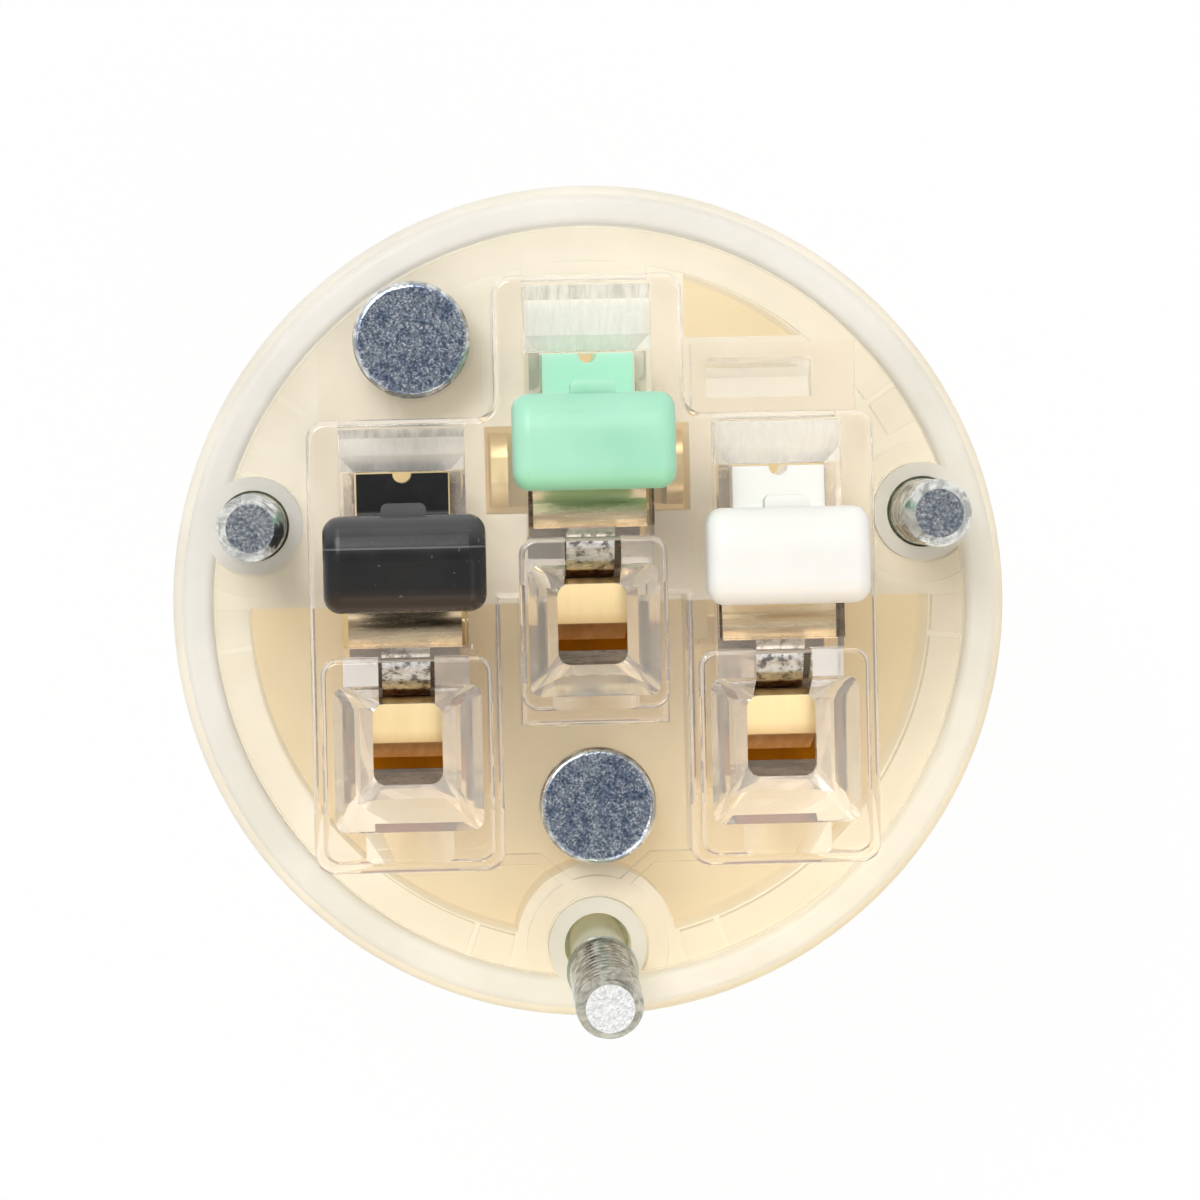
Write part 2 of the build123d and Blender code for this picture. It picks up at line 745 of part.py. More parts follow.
pieces = {
    "hot_blade": make_blade(-blade_x),
    "neutral_blade": make_blade(blade_x),
    "hot_terminal": make_terminal(
        -line_x, line_entry_y, -foot_outer, -foot_inner, line_foot_high, hot_hole.sketch, ()),
    "neutral_terminal": make_terminal(
        line_x, line_entry_y, foot_inner, foot_outer, line_foot_high, neutral_hole.sketch, ()),
    "ground_terminal": make_terminal(
        0, ground_entry_y, -strip_width / 2, strip_width / 2, ground_foot_high, ground_hole.sketch, (-1, 1)),
    "cover_rivet_upper": make_rivet(upper_rivet, rib_top),
    "cover_rivet_lower": make_rivet(lower_rivet, flange_top),
    "screw_left": make_screw(screw_places[0], 0, 0),
    "screw_right": make_screw(screw_places[1], 0, 0),
    "screw_bottom": make_screw(screw_places[2], screw_lift - lean_drop, screw_lean),
}
for name, x, y, *sizes in units:
    pieces[name + "_button"] = make_button(x, y)
    pieces[name + "_spring"] = make_spring(x, y)

for name, piece in pieces.items():
    piece.label = name
    export_step(piece, "parts/" + name + ".step")
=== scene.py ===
import json
import math

import bmesh
import bpy
from mathutils import Matrix, Vector


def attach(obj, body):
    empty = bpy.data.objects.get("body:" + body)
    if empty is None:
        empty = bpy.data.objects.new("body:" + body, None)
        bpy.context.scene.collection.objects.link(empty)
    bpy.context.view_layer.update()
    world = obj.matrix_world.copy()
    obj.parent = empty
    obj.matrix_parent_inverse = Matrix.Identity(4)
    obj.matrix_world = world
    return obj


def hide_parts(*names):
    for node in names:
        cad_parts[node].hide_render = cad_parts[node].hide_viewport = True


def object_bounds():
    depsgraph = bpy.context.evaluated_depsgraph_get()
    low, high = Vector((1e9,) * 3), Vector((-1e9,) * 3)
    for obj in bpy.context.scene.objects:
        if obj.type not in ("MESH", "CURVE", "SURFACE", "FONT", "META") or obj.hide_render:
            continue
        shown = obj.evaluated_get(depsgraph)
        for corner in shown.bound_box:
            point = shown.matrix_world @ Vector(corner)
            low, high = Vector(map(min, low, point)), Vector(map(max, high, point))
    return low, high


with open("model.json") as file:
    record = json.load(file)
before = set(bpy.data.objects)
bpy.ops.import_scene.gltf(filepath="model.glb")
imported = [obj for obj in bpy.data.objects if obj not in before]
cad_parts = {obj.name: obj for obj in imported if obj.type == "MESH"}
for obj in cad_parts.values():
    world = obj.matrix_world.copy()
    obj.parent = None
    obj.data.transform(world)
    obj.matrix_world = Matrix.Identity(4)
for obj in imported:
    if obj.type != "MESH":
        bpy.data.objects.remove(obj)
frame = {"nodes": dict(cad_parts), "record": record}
cad_low, cad_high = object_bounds()
nodes = frame["nodes"]
record = frame["record"]
mounts = {row["name"]: row for row in record["mounts"]}
scene = bpy.context.scene
scene.view_settings.view_transform = "Standard"
MM = 0.001

# Camera, from the photograph's small parallax
LENS_MM, SENSOR_MM = 184.5, 36.0
EYE = Vector((-10.3, 7.5, 306.0)) * MM
TARGET = Vector((0.676, -0.061, 6.0)) * MM
ROLL = math.radians(1.25)

# Painted shade and greenish reflection: zinc is painted olive below the threads
OLIVE_SHADE = (0.46, 0.50, 0.36)
OLIVE_SHADE_FADE = 0.4 * MM
RIVET_SPECKLE, SCREW_SPECKLE, ZINC_PATCHES = 9000.0, 6000.0, 700.0
RIVET_BEVEL = (0.90, 0.92, 0.92)

# Rolled screw threads, a little under the solids' size
THREAD_UNDERSIZE = 0.12 * MM
THREAD_PITCH = 0.79 * MM
THREAD_DEPTH = 0.28 * MM
THREAD_CHAMFER = 0.45 * MM
THREAD_SIDES = 48
THREAD_STEPS = 12

# Moulded plastic
PLASTIC_GRAIN = 900.0
SUBSURFACE_RADIUS = (1.2 * MM, 1.0 * MM, 0.8 * MM)

# Black button: a parting line across its head, a painted sheen above the line, a painted brass reflection
# on its lower edge, dust, and its darker stem
SEAM_Y = 2.95 * MM
SEAM_WIDTH = 0.09 * MM
SHEEN_REACH = 1.6 * MM
BLACK_BRASS_REFLECTION = (0.07, 0.038, 0.014)
BLACK_STEM = (0.014, 0.014, 0.014)
PAINTED_SHEEN, SEAM, DUST = (0.09, 0.09, 0.09), (0.10, 0.10, 0.10), (0.35, 0.34, 0.33)

# Lower edge of each button's head, and how far up the painted reflection of the brass below reaches
HEAD_LOW_Y = {"hot": -0.1 * MM, "neutral": -0.1 * MM, "ground": 5.4 * MM}
REFLECTION_REACH = 1.2 * MM
HEAD_TOP_Z = nodes["hot_button"].bound_box[6][2]

# Top of the stems, below the heads
STEM_Z = 15.9 * MM

# Painted shade: brass is bright on its shelf and painted dark down the throat below each wire entry
BRASS_DARK_Z = 11.8 * MM
BRASS_BRIGHT_Z = 12.4 * MM
THROAT_HALF = 2.4 * MM
BRASS_LOW, BRASS_HIGH, BRASS_SHADE = (0.86, 0.68, 0.37), (0.93, 0.76, 0.46), (0.42, 0.15, 0.006)

# Painted shade: spring steel is painted dark down in its chamber
STEEL_DARK_Z = 9.5 * MM
STEEL_BRIGHT_Z = 12.5 * MM
STEEL_LOW, STEEL_HIGH, STEEL_SHADE = (0.95, 0.70, 0.44), (1.0, 0.84, 0.58), (0.30, 0.25, 0.20)

# Tongue of the spring, measured from the wire entry
TONGUE_HALF_WIDTH = 1.4 * MM
TONGUE_LOW, TONGUE_HIGH = 1.9 * MM, 4.6 * MM
TONGUE_TOP_Z = 15.0 * MM
FLECKS = [(0.40, (0.20, 0.19, 0.18)), (0.48, (0.72, 0.70, 0.67)), (0.62, (0.92, 0.91, 0.89))]

# Painted shade and light: nylon is painted yellower the deeper it lies, and a little more so towards the
# lower right, away from the key lamp
NYLON_DEEP_Z = 4.0 * MM
NYLON_TOP_Z = 13.0 * MM
NYLON_LIGHT_SLANT_X, NYLON_LIGHT_SLANT_Y = 0.06, 0.12
NYLON_PAINTED_SHADE_TONES = [(0.0, (0.98, 0.88, 0.66)), (0.6, (1.0, 0.965, 0.875)), (1.0, (0.94, 0.93, 0.90))]
NYLON_PASSES = (1.0, 0.985, 0.95)
MILKY_DEEP, MILKY_TOP = 0.6, 0.45

# Clear plastic is pale in the flange and warmer in the towers
CLEAR_PALE_Z, CLEAR_WARM_Z = 12.0 * MM, 13.5 * MM
CLEAR_PALE = (0.985, 0.97, 0.935)
CLEAR_WARM = (0.99, 0.925, 0.855)
CLEAR_PASSES = (0.98, 0.97, 0.95)
CLEAR_IOR = 1.58

# Haze in the clear plastic: little on level and upright faces, more on slopes and rounded edges, where it
# also paints pale highlight lines
HAZE_LEVEL = 0.07
HAZE_SLOPED_HIGHLIGHT = 0.26

# Frosted tool ramps, measured from the wire entries
RAMP_START = 13.0 * MM
RAMP_HALF_WIDTH = 2.95 * MM
RAMP_GREY = {"hot": 0.5 * MM, "neutral": 0.0, "ground": 0.8 * MM}
RAMP_LOW_Z, RAMP_HIGH_Z = 13.9 * MM, 15.98 * MM
RAMP_PALE, RAMP_SCRAPED = (1.0, 0.98, 0.95), (0.36, 0.34, 0.32)
RAMP_LENGTHS = {"hot": 2.05 * MM, "neutral": 2.05 * MM, "ground": 3.2 * MM}


# Node helpers

def new_material(name):
    mat = bpy.data.materials.new(name)
    mat.use_nodes = True
    tree = mat.node_tree
    return mat, tree, tree.nodes["Principled BSDF"]


def link(tree, a, out, b, into):
    tree.links.new(a.outputs[out], b.inputs[into])


def coords(tree, scale=(1, 1, 1)):
    tex = tree.nodes.new("ShaderNodeTexCoord")
    mapping = tree.nodes.new("ShaderNodeMapping")
    mapping.inputs["Scale"].default_value = scale
    link(tree, tex, "Object", mapping, "Vector")
    return mapping


def noise(tree, vector, scale, detail=4.0, rough=0.55):
    node = tree.nodes.new("ShaderNodeTexNoise")
    node.inputs["Scale"].default_value = scale
    node.inputs["Detail"].default_value = detail
    node.inputs["Roughness"].default_value = rough
    link(tree, vector, "Vector", node, "Vector")
    return node


def ramp(tree, source, out, stops):
    node = tree.nodes.new("ShaderNodeValToRGB")
    els = node.color_ramp.elements
    while len(els) < len(stops):
        els.new(0.5)
    for el, (pos, col) in zip(els, stops):
        el.position = pos
        el.color = (*col, 1.0)
    link(tree, source, out, node, "Fac")
    return node


def spread(tree, source, out, low, high, start=0.3, stop=0.7):
    node = tree.nodes.new("ShaderNodeMapRange")
    node.inputs["From Min"].default_value = start
    node.inputs["From Max"].default_value = stop
    node.inputs["To Min"].default_value = low
    node.inputs["To Max"].default_value = high
    link(tree, source, out, node, "Value")
    return node


def blend(tree, kind, factor, factor_out, a, b):
    """A colour mix. Each side is a node with a colour output or a plain colour."""
    node = tree.nodes.new("ShaderNodeMix")
    node.data_type = "RGBA"
    node.blend_type = kind
    if factor_out:
        link(tree, factor, factor_out, node, 0)
    else:
        node.inputs[0].default_value = factor
    for side, at in ((a, 6), (b, 7)):
        if isinstance(side, tuple):
            node.inputs[at].default_value = (*side, 1.0)
        else:
            out = side.outputs[2] if side.type == "MIX" else side.outputs["Color"]
            tree.links.new(out, node.inputs[at])
    return node


def bump(tree, shader, source, out, strength, distance):
    node = tree.nodes.new("ShaderNodeBump")
    node.inputs["Strength"].default_value = strength
    node.inputs["Distance"].default_value = distance
    link(tree, source, out, node, "Height")
    link(tree, node, "Normal", shader, "Normal")
    return node


def maths(tree, operation, a, b):
    """A sum on two values. Each is a plain number or a node and the name of its output."""
    node = tree.nodes.new("ShaderNodeMath")
    node.operation = operation
    for at, value in enumerate((a, b)):
        if isinstance(value, tuple):
            link(tree, *value, node, at)
        else:
            node.inputs[at].default_value = value
    return node, "Value"


def inside(tree, split, low, high):
    """One inside a box and nothing outside it."""
    whole = 1.0
    for axis, a, b in zip("XYZ", low, high):
        above = maths(tree, "GREATER_THAN", (split, axis), a)
        below = maths(tree, "LESS_THAN", (split, axis), b)
        whole = maths(tree, "MULTIPLY", whole, maths(tree, "MULTIPLY", above, below))
    return whole


def slant(tree):
    """Nothing where a face lies along an axis, more the further it turns away from all three."""
    face = tree.nodes.new("ShaderNodeNewGeometry")
    split = tree.nodes.new("ShaderNodeSeparateXYZ")
    link(tree, face, "Normal", split, "Vector")
    most = 0.0
    for axis in "XYZ":
        most = maths(tree, "MAXIMUM", most, maths(tree, "ABSOLUTE", (split, axis), 0.0))
    return maths(tree, "SUBTRACT", 1.0, most)


def let_lamps_through(tree, shader, out, tint):
    """Light from the lamps passes straight on, so what lies behind the piece is lit."""
    path = tree.nodes.new("ShaderNodeLightPath")
    open_way = tree.nodes.new("ShaderNodeBsdfTransparent")
    open_way.inputs["Color"].default_value = (*tint, 1.0)
    mix = tree.nodes.new("ShaderNodeMixShader")
    link(tree, path, "Is Shadow Ray", mix, "Fac")
    link(tree, shader, out, mix, 1)
    link(tree, open_way, "BSDF", mix, 2)
    link(tree, mix, "Shader", tree.nodes["Material Output"], "Surface")


# Materials

def plastic(name, low, high, rough, grain=PLASTIC_GRAIN, subsurface=0.0):
    """Moulded plastic: two close tones in a soft cloud, fine mould grain in roughness and bump."""
    mat, tree, bsdf = new_material(name)
    at = coords(tree)
    cloud = noise(tree, at, 160.0, 3.0)
    tint = ramp(tree, cloud, "Fac", [(0.35, low), (0.65, high)])
    fine = noise(tree, at, grain, 4.0)
    link(tree, spread(tree, fine, "Fac", rough - 0.05, rough + 0.07), "Result", bsdf, "Roughness")
    bump(tree, bsdf, fine, "Fac", 0.10, 0.00006)
    if subsurface:
        bsdf.inputs["Subsurface Weight"].default_value = subsurface
        bsdf.inputs["Subsurface Radius"].default_value = SUBSURFACE_RADIUS
        bsdf.inputs["Subsurface Scale"].default_value = 1.0
    return mat, tree, bsdf, at, tint


def painted_brass_reflection(tree, at, tint, low_y, brass_reflection):
    """Painted reflection: the lower edge of a button's head is painted with the colour of the brass
    beneath it.
    """
    split = tree.nodes.new("ShaderNodeSeparateXYZ")
    link(tree, at, "Vector", split, "Vector")
    near = spread(tree, split, "Y", 0.8, 0.0, low_y, low_y + REFLECTION_REACH)
    upper = spread(tree, split, "Z", 0.0, 1.0, HEAD_TOP_Z - REFLECTION_REACH, HEAD_TOP_Z - REFLECTION_REACH / 2)
    band = maths(tree, "MULTIPLY", (near, "Result"), (upper, "Result"))
    return blend(tree, "MIX", *band, tint, brass_reflection)


def stem_painted_tone(tree, bsdf, at, colour, stem_tone):
    """The stem below the head has a tone of its own; on the white and green buttons this is painted light,
    lighter than the head against the shade of its well.
    """
    split = tree.nodes.new("ShaderNodeSeparateXYZ")
    link(tree, at, "Vector", split, "Vector")
    below = maths(tree, "LESS_THAN", (split, "Z"), STEM_Z)
    toned = blend(tree, "MIX", *below, colour, stem_tone)
    tree.links.new(toned.outputs[2], bsdf.inputs["Base Color"])


def button_material(name, low, high, low_y, brass_reflection, stem_tone):
    mat, tree, bsdf, at, tint = plastic(name, low, high, 0.36, PLASTIC_GRAIN, 0.5)
    # Painted reflection of the brass below on the head's lower edge, then the stem's painted tone
    reflected = painted_brass_reflection(tree, at, tint, low_y, brass_reflection)
    stem_painted_tone(tree, bsdf, at, reflected, stem_tone)
    return mat


def nylon_material():
    """Natural nylon: a pale skin over milky plastic that light passes through, with painted shade that
    makes it yellower with depth.
    """
    mat, tree, bsdf, at, tint = plastic("nylon", (0.93, 0.93, 0.92), (1.0, 1.0, 1.0), 0.42, 500.0)
    split = tree.nodes.new("ShaderNodeSeparateXYZ")
    link(tree, at, "Vector", split, "Vector")
    # Painted shade and light: the tone follows height, tilted so the lower right reads deeper
    down = maths(tree, "MULTIPLY", (split, "Y"), NYLON_LIGHT_SLANT_Y)
    across = maths(tree, "MULTIPLY", (split, "X"), NYLON_LIGHT_SLANT_X)
    height = maths(tree, "ADD", (split, "Z"), maths(tree, "SUBTRACT", down, across))
    depth = spread(tree, *height, 0.0, 1.0, NYLON_DEEP_Z, NYLON_TOP_Z)
    tones = ramp(tree, depth, "Result", NYLON_PAINTED_SHADE_TONES)
    colour = blend(tree, "MULTIPLY", 1.0, None, tones, tint)
    tree.links.new(colour.outputs[2], bsdf.inputs["Base Color"])
    milky = tree.nodes.new("ShaderNodeBsdfTranslucent")
    tree.links.new(colour.outputs[2], milky.inputs["Color"])
    body = tree.nodes.new("ShaderNodeMixShader")
    link(tree, spread(tree, depth, "Result", MILKY_DEEP, MILKY_TOP, 0.2, 0.6), "Result", body, "Fac")
    link(tree, bsdf, "BSDF", body, 1)
    link(tree, milky, "BSDF", body, 2)
    let_lamps_through(tree, body, "Shader", NYLON_PASSES)
    return mat


def black_material():
    """Black plastic with a pale parting line, a painted sheen above it, a painted brass reflection on its
    lower edge, and specks of dust.
    """
    mat, tree, bsdf, at, tint = plastic("black", (0.010, 0.010, 0.011), (0.016, 0.015, 0.014), 0.24)
    bsdf.inputs["Specular IOR Level"].default_value = 0.3
    split = tree.nodes.new("ShaderNodeSeparateXYZ")
    link(tree, at, "Vector", split, "Vector")
    line = tree.nodes.new("ShaderNodeMath")
    line.operation = "COMPARE"
    line.inputs[1].default_value = SEAM_Y
    line.inputs[2].default_value = SEAM_WIDTH / 2
    link(tree, split, "Y", line, 0)
    # Painted sheen: the head is painted lighter above the parting line
    sheen_mask = spread(tree, split, "Y", 0.0, 1.0, SEAM_Y, SEAM_Y + SHEEN_REACH)
    # Painted reflection of the brass below on the head's lower edge
    reflected = painted_brass_reflection(tree, at, tint, HEAD_LOW_Y["hot"], BLACK_BRASS_REFLECTION)
    sheened = blend(tree, "MIX", sheen_mask, "Result", reflected, PAINTED_SHEEN)
    seamed = blend(tree, "MIX", line, "Value", sheened, SEAM)
    speck = noise(tree, at, 2600.0, 2.0)
    dust = spread(tree, speck, "Fac", 0.0, 0.5, 0.70, 0.78)
    dusty = blend(tree, "MIX", dust, "Result", seamed, DUST)
    stem_painted_tone(tree, bsdf, at, dusty, BLACK_STEM)
    return mat


def clear_material():
    """Clear polycarbonate: faint warm tint, slight mould waviness, and ramps frosted by the tool."""
    mat, tree, bsdf = new_material("clear")
    at = coords(tree)
    cloud = noise(tree, at, 120.0, 2.0)
    split = tree.nodes.new("ShaderNodeSeparateXYZ")
    link(tree, at, "Vector", split, "Vector")
    raised = spread(tree, split, "Z", 0.0, 1.0, CLEAR_PALE_Z, CLEAR_WARM_Z)
    body = blend(tree, "MIX", raised, "Result", CLEAR_PALE, CLEAR_WARM)
    cloudy = ramp(tree, cloud, "Fac", [(0.3, (0.985, 0.98, 0.97)), (0.7, (1.0, 1.0, 1.0))])
    tint = blend(tree, "MULTIPLY", 1.0, None, body, cloudy)
    fine = noise(tree, at, 350.0, 3.0)
    polish = spread(tree, fine, "Fac", 0.01, 0.06)
    frost = 0.0
    grey = 0.0
    for unit, length in RAMP_LENGTHS.items():
        x, y, z = mounts[unit + "_wire_entry"]["pos_m"]
        low = (x - RAMP_HALF_WIDTH, y + RAMP_START, RAMP_LOW_Z)
        high = (x + RAMP_HALF_WIDTH, y + RAMP_START + length, RAMP_HIGH_Z)
        frost = maths(tree, "ADD", frost, inside(tree, split, low, high))
        low = (low[0], high[1] - RAMP_GREY[unit], low[2])
        grey = maths(tree, "ADD", grey, inside(tree, split, low, high))
    brushed = noise(tree, coords(tree, (3.0, 0.4, 1.0)), 900.0, 5.0, 0.7)
    strength = spread(tree, brushed, "Fac", 0.45, 0.65)
    frosted = maths(tree, "MULTIPLY", frost, (strength, "Result"))
    scraped = maths(tree, "MULTIPLY", grey, (spread(tree, brushed, "Fac", 0.0, 1.0, 0.35, 0.6), "Result"))
    pale = blend(tree, "MIX", *scraped, RAMP_PALE, RAMP_SCRAPED)
    colour = blend(tree, "MIX", *frosted, tint, pale)
    tree.links.new(colour.outputs[2], bsdf.inputs["Base Color"])
    rough = maths(tree, "ADD", (polish, "Result"), maths(tree, "MULTIPLY", frosted, 0.35))
    link(tree, *rough, bsdf, "Roughness")
    # Painted highlight lines: more haze on slopes and rounded edges
    hazy = spread(tree, *slant(tree), HAZE_LEVEL, HAZE_SLOPED_HIGHLIGHT, 0.01, 0.12)
    clear = maths(tree, "SUBTRACT", 1.0, (hazy, "Result"))
    see_through = maths(tree, "MULTIPLY", clear, maths(tree, "SUBTRACT", 1.0, frosted))
    link(tree, *see_through, bsdf, "Transmission Weight")
    bump(tree, bsdf, cloud, "Fac", 0.12, 0.0004)
    bsdf.inputs["IOR"].default_value = CLEAR_IOR
    let_lamps_through(tree, bsdf, "BSDF", CLEAR_PASSES)
    return mat


def metal(name, low, high, rough, stretch, scale, depth):
    """Worked metal: tone and roughness follow a stretched grain."""
    mat, tree, bsdf = new_material(name)
    bsdf.inputs["Metallic"].default_value = 1.0
    at = coords(tree, stretch)
    grain = noise(tree, at, scale, 6.0, 0.6)
    tint = ramp(tree, grain, "Fac", [(0.3, low), (0.7, high)])
    link(tree, spread(tree, grain, "Fac", rough - 0.08, rough + 0.10), "Result", bsdf, "Roughness")
    bump(tree, bsdf, grain, "Fac", depth, 0.00004)
    return mat, tree, bsdf, tint


def wire_entries():
    return [Vector(mounts[unit + "_wire_entry"]["pos_m"]) for unit in RAMP_LENGTHS]


def painted_shade_below(tree, bsdf, tint, shade_colour, dark_z, bright_z, throats=False):
    """Painted shade: the tone goes over to a dark one as the piece goes down, all over or only below the
    wire entries.
    """
    split = tree.nodes.new("ShaderNodeSeparateXYZ")
    link(tree, coords(tree), "Vector", split, "Vector")
    depth = spread(tree, split, "Z", 1.0, 0.0, dark_z, bright_z), "Result"
    if throats:
        within = 0.0
        for x, y, z in wire_entries():
            low = (x - THROAT_HALF, y - THROAT_HALF, 0.0)
            high = (x + THROAT_HALF, y + THROAT_HALF, bright_z)
            within = maths(tree, "ADD", within, inside(tree, split, low, high))
        depth = maths(tree, "MULTIPLY", depth, within)
    shaded = blend(tree, "MIX", *depth, tint, shade_colour)
    tree.links.new(shaded.outputs[2], bsdf.inputs["Base Color"])


def brass_material():
    """Rolled brass, with painted shade deep in the chambers."""
    mat, tree, bsdf, tint = metal("brass", BRASS_LOW, BRASS_HIGH, 0.36, (6.0, 1.0, 1.0), 300.0, 0.12)
    # Painted shade down the throats below the wire entries
    painted_shade_below(tree, bsdf, tint, BRASS_SHADE, BRASS_DARK_Z, BRASS_BRIGHT_Z, throats=True)
    return mat


def steel_material():
    """Spring steel strip, streaked and brownish, with painted shade low in its chamber and a bright
    flecked tongue.
    """
    grain = (1.0, 10.0, 10.0)
    mat, tree, bsdf, tint = metal("spring_steel", STEEL_LOW, STEEL_HIGH, 0.24, grain, 300.0, 0.2)
    split = tree.nodes.new("ShaderNodeSeparateXYZ")
    at = coords(tree)
    link(tree, at, "Vector", split, "Vector")
    tongue = 0.0
    for x, y, z in wire_entries():
        low = (x - TONGUE_HALF_WIDTH, y + TONGUE_LOW, STEEL_DARK_Z)
        high = (x + TONGUE_HALF_WIDTH, y + TONGUE_HIGH, TONGUE_TOP_Z)
        tongue = maths(tree, "ADD", tongue, inside(tree, split, low, high))
    flecks = ramp(tree, noise(tree, at, 2200.0, 5.0, 0.7), "Fac", FLECKS)
    flecked = blend(tree, "MIX", *tongue, tint, flecks)
    # Painted shade low in the chamber
    painted_shade_below(tree, bsdf, flecked, STEEL_SHADE, STEEL_DARK_Z, STEEL_BRIGHT_Z)
    return mat


def zinc_material(name, tones, patches, plain, size, olive_z):
    """Zinc plating: speckled on level faces, plain on bevels and threads, and painted olive below the
    threads as shade and greenish reflection.
    """
    mat, tree, bsdf = new_material(name)
    bsdf.inputs["Metallic"].default_value = 1.0
    at = coords(tree)
    mottle = noise(tree, at, size, 4.0, 0.7)
    broad = noise(tree, at, ZINC_PATCHES, 5.0, 0.65)
    broad.inputs["Distortion"].default_value = 2.0
    spots = ramp(tree, mottle, "Fac", list(zip((0.38, 0.53, 0.68), tones)))
    shade = ramp(tree, broad, "Fac", [(0.38, (0.50, 0.57, 0.70)), (0.52, (1.0, 1.0, 1.0))])
    worn = spread(tree, broad, "Fac", 0.0, 0.6, 0.54, 0.66)
    patchy = blend(tree, "MULTIPLY", patches, None, spots, shade)
    speckled = blend(tree, "MIX", worn, "Result", patchy, tones[1])
    dull = ramp(tree, broad, "Fac", [(0.38, tuple(0.5 * part for part in plain)), (0.58, plain)])
    turned = spread(tree, *slant(tree), 0.0, 1.0, 0.02, 0.12)
    bare = blend(tree, "MIX", turned, "Result", speckled, dull)
    split = tree.nodes.new("ShaderNodeSeparateXYZ")
    link(tree, at, "Vector", split, "Vector")
    # Painted shade and greenish reflection: olive below the base of the thread
    olive_mask = spread(tree, split, "Z", 0.9, 0.0, olive_z, olive_z + OLIVE_SHADE_FADE)
    plated = blend(tree, "MIX", olive_mask, "Result", bare, OLIVE_SHADE)
    tree.links.new(plated.outputs[2], bsdf.inputs["Base Color"])
    link(tree, spread(tree, mottle, "Fac", 0.09, 0.25), "Result", bsdf, "Roughness")
    bump(tree, bsdf, mottle, "Fac", 0.14, 0.00004)
    return mat


RIVET_TONES = ((0.14, 0.18, 0.26), (0.50, 0.56, 0.64), (1.0, 1.0, 1.0))
SIDE_TONES = ((0.30, 0.33, 0.36), (0.66, 0.69, 0.71), (1.0, 1.0, 1.0))
TIP_TONES = ((0.82, 0.84, 0.86), (0.97, 0.98, 0.98), (1.0, 1.0, 1.0))
SCREW_LOOKS = {
    "left": (SIDE_TONES, 0.6, (0.84, 0.84, 0.80)),
    "right": (SIDE_TONES, 0.6, (0.84, 0.84, 0.80)),
    "bottom": (TIP_TONES, 0.1, (0.64, 0.62, 0.52)),
}
mats = {
    "nylon": nylon_material(),
    "clear": clear_material(),
    "black": black_material(),
    # White and green: the colour after HEAD_LOW_Y is a painted brass reflection on the head's lower edge,
    # and the last a stem painted lighter than the head against the shade of its well
    "white": button_material(
        "white", (0.79, 0.78, 0.74), (0.83, 0.82, 0.78), HEAD_LOW_Y["neutral"], (0.80, 0.68, 0.54),
        (0.95, 0.93, 0.87)),
    "green": button_material(
        "green", (0.32, 0.65, 0.47), (0.38, 0.71, 0.53), HEAD_LOW_Y["ground"], (0.27, 0.58, 0.28),
        (0.45, 0.82, 0.62)),
    "brass": brass_material(),
    "spring_steel": steel_material(),
    "zinc": zinc_material("zinc", RIVET_TONES, 1.0, RIVET_BEVEL, RIVET_SPECKLE, cad_low.z),
}
for row in record["subparts"]:
    obj = nodes[row["node"]]
    obj.data.materials.clear()
    obj.data.materials.append(mats[row["material_slot"]])


# Screws: the solid's own head and neck, with a rolled thread in place of the plain shank

def thread_radius(t, turn, radius, length):
    """Radius of the thread at height t and angle turn (in whole turns)."""
    wave = abs(2 * ((t / THREAD_PITCH - turn) % 1.0) - 1)
    cut = min(max((wave - 0.12) / 0.76, 0.0), 1.0)
    cone = radius - THREAD_CHAMFER + (length - t)
    return min(radius - THREAD_DEPTH * cut, cone)


def add_thread(bm, base, axis, radius, length):
    side = axis.orthogonal().normalized()
    other = axis.cross(side)
    count = int(length / THREAD_PITCH * THREAD_STEPS)
    rings = []
    for i in range(count + 1):
        t = length * i / count
        ring = []
        for k in range(THREAD_SIDES):
            turn = k / THREAD_SIDES
            r = thread_radius(t, turn, radius, length)
            way = side * math.cos(2 * math.pi * turn) + other * math.sin(2 * math.pi * turn)
            ring.append(bm.verts.new(base + axis * t + way * r))
        rings.append(ring)
    for low, high in zip(rings, rings[1:]):
        for k in range(THREAD_SIDES):
            n = (k + 1) % THREAD_SIDES
            bm.faces.new((low[k], low[n], high[n], high[k])).smooth = True
    bm.faces.new(list(reversed(rings[0])))
    bm.faces.new(rings[-1])


def threaded_screw(place):
    mount = mounts["housing_screw_" + place]
    axis = Vector(mount["axis"]).normalized()
    length = mount["dims"]["length_mm"] * MM
    base = Vector(mount["pos_m"]) - axis * length / 2
    bm = bmesh.new()
    bm.from_mesh(nodes["screw_" + place].data)
    everything = bm.verts[:] + bm.edges[:] + bm.faces[:]
    bmesh.ops.bisect_plane(bm, geom=everything, plane_co=base, plane_no=axis, clear_outer=True)
    radius = mount["dims"]["r_mm"] * MM - THREAD_UNDERSIZE
    add_thread(bm, base, axis, radius, length + THREAD_CHAMFER)
    mesh = bpy.data.meshes.new("threaded_screw_" + place)
    bm.to_mesh(mesh)
    bm.free()
    mesh.set_sharp_from_angle(angle=math.radians(30))
    mesh.materials.append(zinc_material("screw_zinc_" + place, *SCREW_LOOKS[place], SCREW_SPECKLE, base.z))
    piece = bpy.data.objects.new("threaded_screw_" + place, mesh)
    scene.collection.objects.link(piece)
    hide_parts("screw_" + place)
    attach(piece, "plug")


for place in ("left", "right", "bottom"):
    threaded_screw(place)


# Floor, light and camera

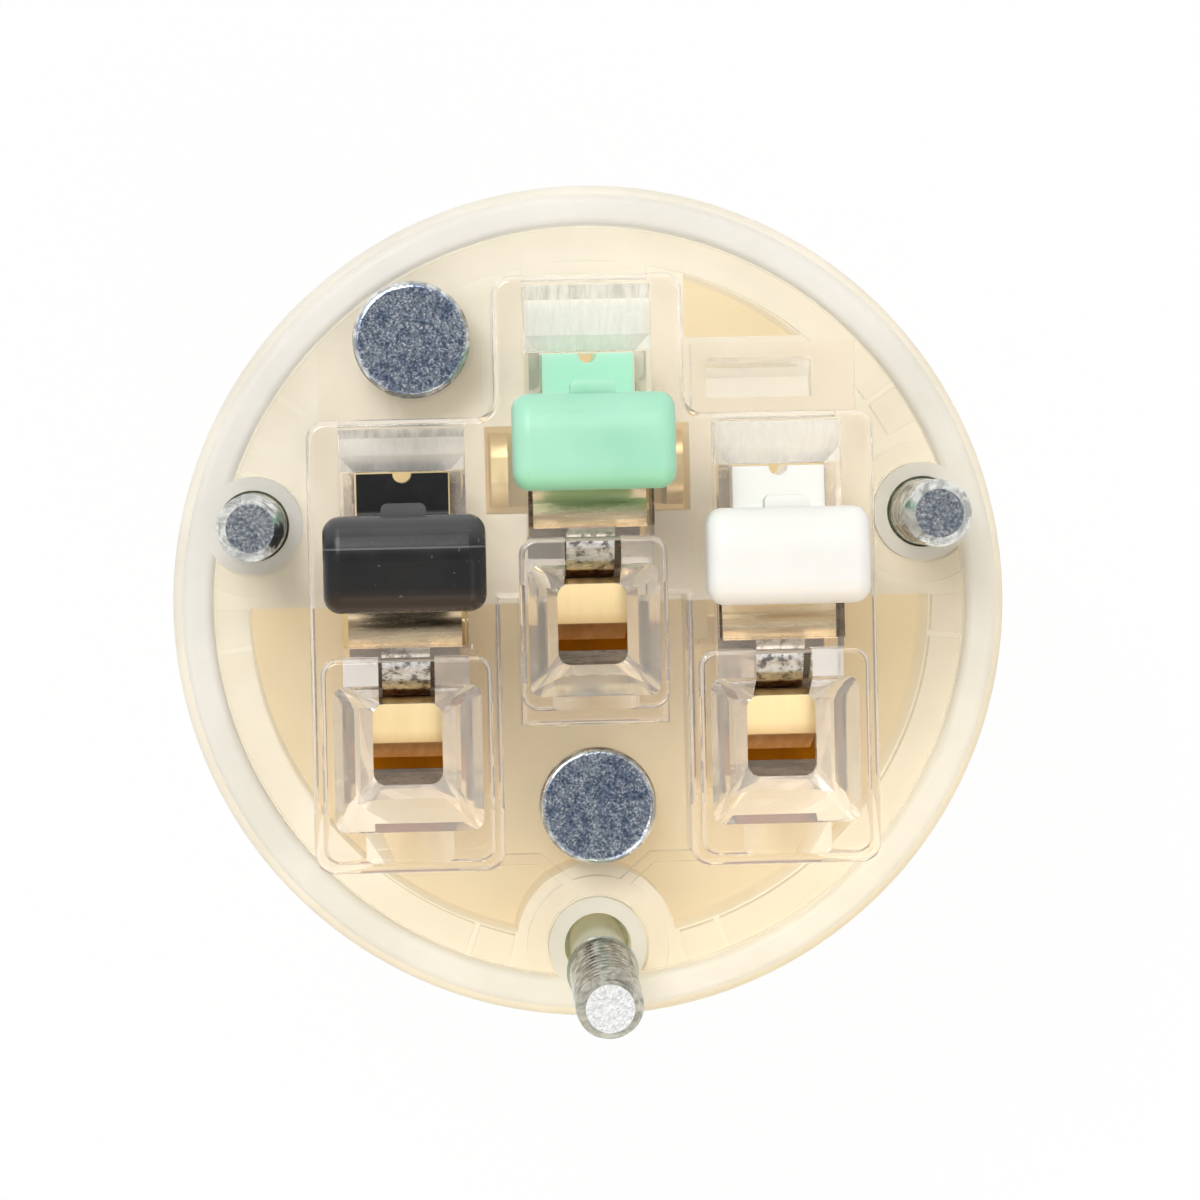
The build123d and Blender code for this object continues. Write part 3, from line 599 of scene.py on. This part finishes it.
FLOOR_HALF, FLOOR_DROP = 3.0, 0.5 * MM
FLOOR_SHOWN = 0.95
SKY = [(0.0, (1.0, 1.0, 1.0)), (0.965, (0.97, 0.97, 0.97)), (0.985, (0.40, 0.41, 0.43))]
SKY_STRENGTH = 0.78
KEY_PLACE, KEY_WIDTH, KEY_WATTS, KEY_COLOUR = (-0.13, 0.22, 0.46), 0.22, 1.2, (1.0, 1.0, 1.0)
FILL_PLACE, FILL_WIDTH, FILL_WATTS, FILL_COLOUR = (0.16, -0.26, 0.40), 0.30, 0.40, (1.0, 0.92, 0.80)


def floor_material():
    """Pale floor, shown close to white, that keeps the object's shadow."""
    mat, tree, bsdf = new_material("floor")
    at = coords(tree)
    cloud = noise(tree, at, 3.0, 2.0)
    tint = ramp(tree, cloud, "Fac", [(0.3, (0.84, 0.84, 0.84)), (0.7, (0.86, 0.86, 0.86))])
    link(tree, tint, "Color", bsdf, "Base Color")
    bsdf.inputs["Roughness"].default_value = 0.9
    glow = tree.nodes.new("ShaderNodeEmission")
    glow.inputs["Color"].default_value = (1.0, 1.0, 1.0, 1.0)
    path = tree.nodes.new("ShaderNodeLightPath")
    seen = tree.nodes.new("ShaderNodeMath")
    seen.operation = "MAXIMUM"
    link(tree, path, "Is Camera Ray", seen, 0)
    link(tree, path, "Is Glossy Ray", seen, 1)
    shown = tree.nodes.new("ShaderNodeMath")
    shown.operation = "MAXIMUM"
    link(tree, seen, "Value", shown, 0)
    link(tree, path, "Is Transmission Ray", shown, 1)
    part = tree.nodes.new("ShaderNodeMath")
    part.operation = "MULTIPLY"
    part.inputs[1].default_value = FLOOR_SHOWN
    link(tree, shown, "Value", part, 0)
    mix = tree.nodes.new("ShaderNodeMixShader")
    link(tree, part, "Value", mix, "Fac")
    link(tree, bsdf, "BSDF", mix, 1)
    link(tree, glow, "Emission", mix, 2)
    link(tree, mix, "Shader", tree.nodes["Material Output"], "Surface")
    return mat


def make_floor():
    half, z = FLOOR_HALF, cad_low.z - FLOOR_DROP
    corners = [(-half, -half, z), (half, -half, z), (half, half, z), (-half, half, z)]
    mesh = bpy.data.meshes.new("floor")
    mesh.from_pydata(corners, [], [(0, 1, 2, 3)])
    mesh.materials.append(floor_material())
    floor = bpy.data.objects.new("floor", mesh)
    scene.collection.objects.link(floor)


def make_world():
    """White studio all round, darker straight overhead."""
    world = bpy.data.worlds.new("studio")
    scene.world = world
    world.use_nodes = True
    tree = world.node_tree
    back = tree.nodes["Background"]
    direction = tree.nodes.new("ShaderNodeTexCoord")
    split = tree.nodes.new("ShaderNodeSeparateXYZ")
    link(tree, direction, "Generated", split, "Vector")
    link(tree, ramp(tree, split, "Z", SKY), "Color", back, "Color")
    back.inputs["Strength"].default_value = SKY_STRENGTH


def softbox(name, place, width, power, colour):
    data = bpy.data.lights.new(name, "AREA")
    data.shape = "SQUARE"
    data.size = width
    data.energy = power
    data.color = colour
    lamp = bpy.data.objects.new(name, data)
    scene.collection.objects.link(lamp)
    lamp.location = place
    lamp.rotation_euler = (-Vector(place)).to_track_quat("-Z", "Y").to_euler()


def make_camera():
    data = bpy.data.cameras.new("camera")
    data.sensor_width = SENSOR_MM
    data.lens = LENS_MM
    data.clip_start = 0.01
    data.clip_end = 20.0
    cam = bpy.data.objects.new("camera", data)
    scene.collection.objects.link(cam)
    forward = (TARGET - EYE).normalized()
    right = forward.cross(Vector((math.sin(ROLL), math.cos(ROLL), 0.0))).normalized()
    turn = Matrix((right, right.cross(forward), -forward)).transposed()
    cam.matrix_world = Matrix.Translation(EYE) @ turn.to_4x4()
    scene.camera = cam


make_floor()
make_world()
softbox("key", KEY_PLACE, KEY_WIDTH, KEY_WATTS, KEY_COLOUR)
softbox("fill", FILL_PLACE, FILL_WIDTH, FILL_WATTS, FILL_COLOUR)
make_camera()
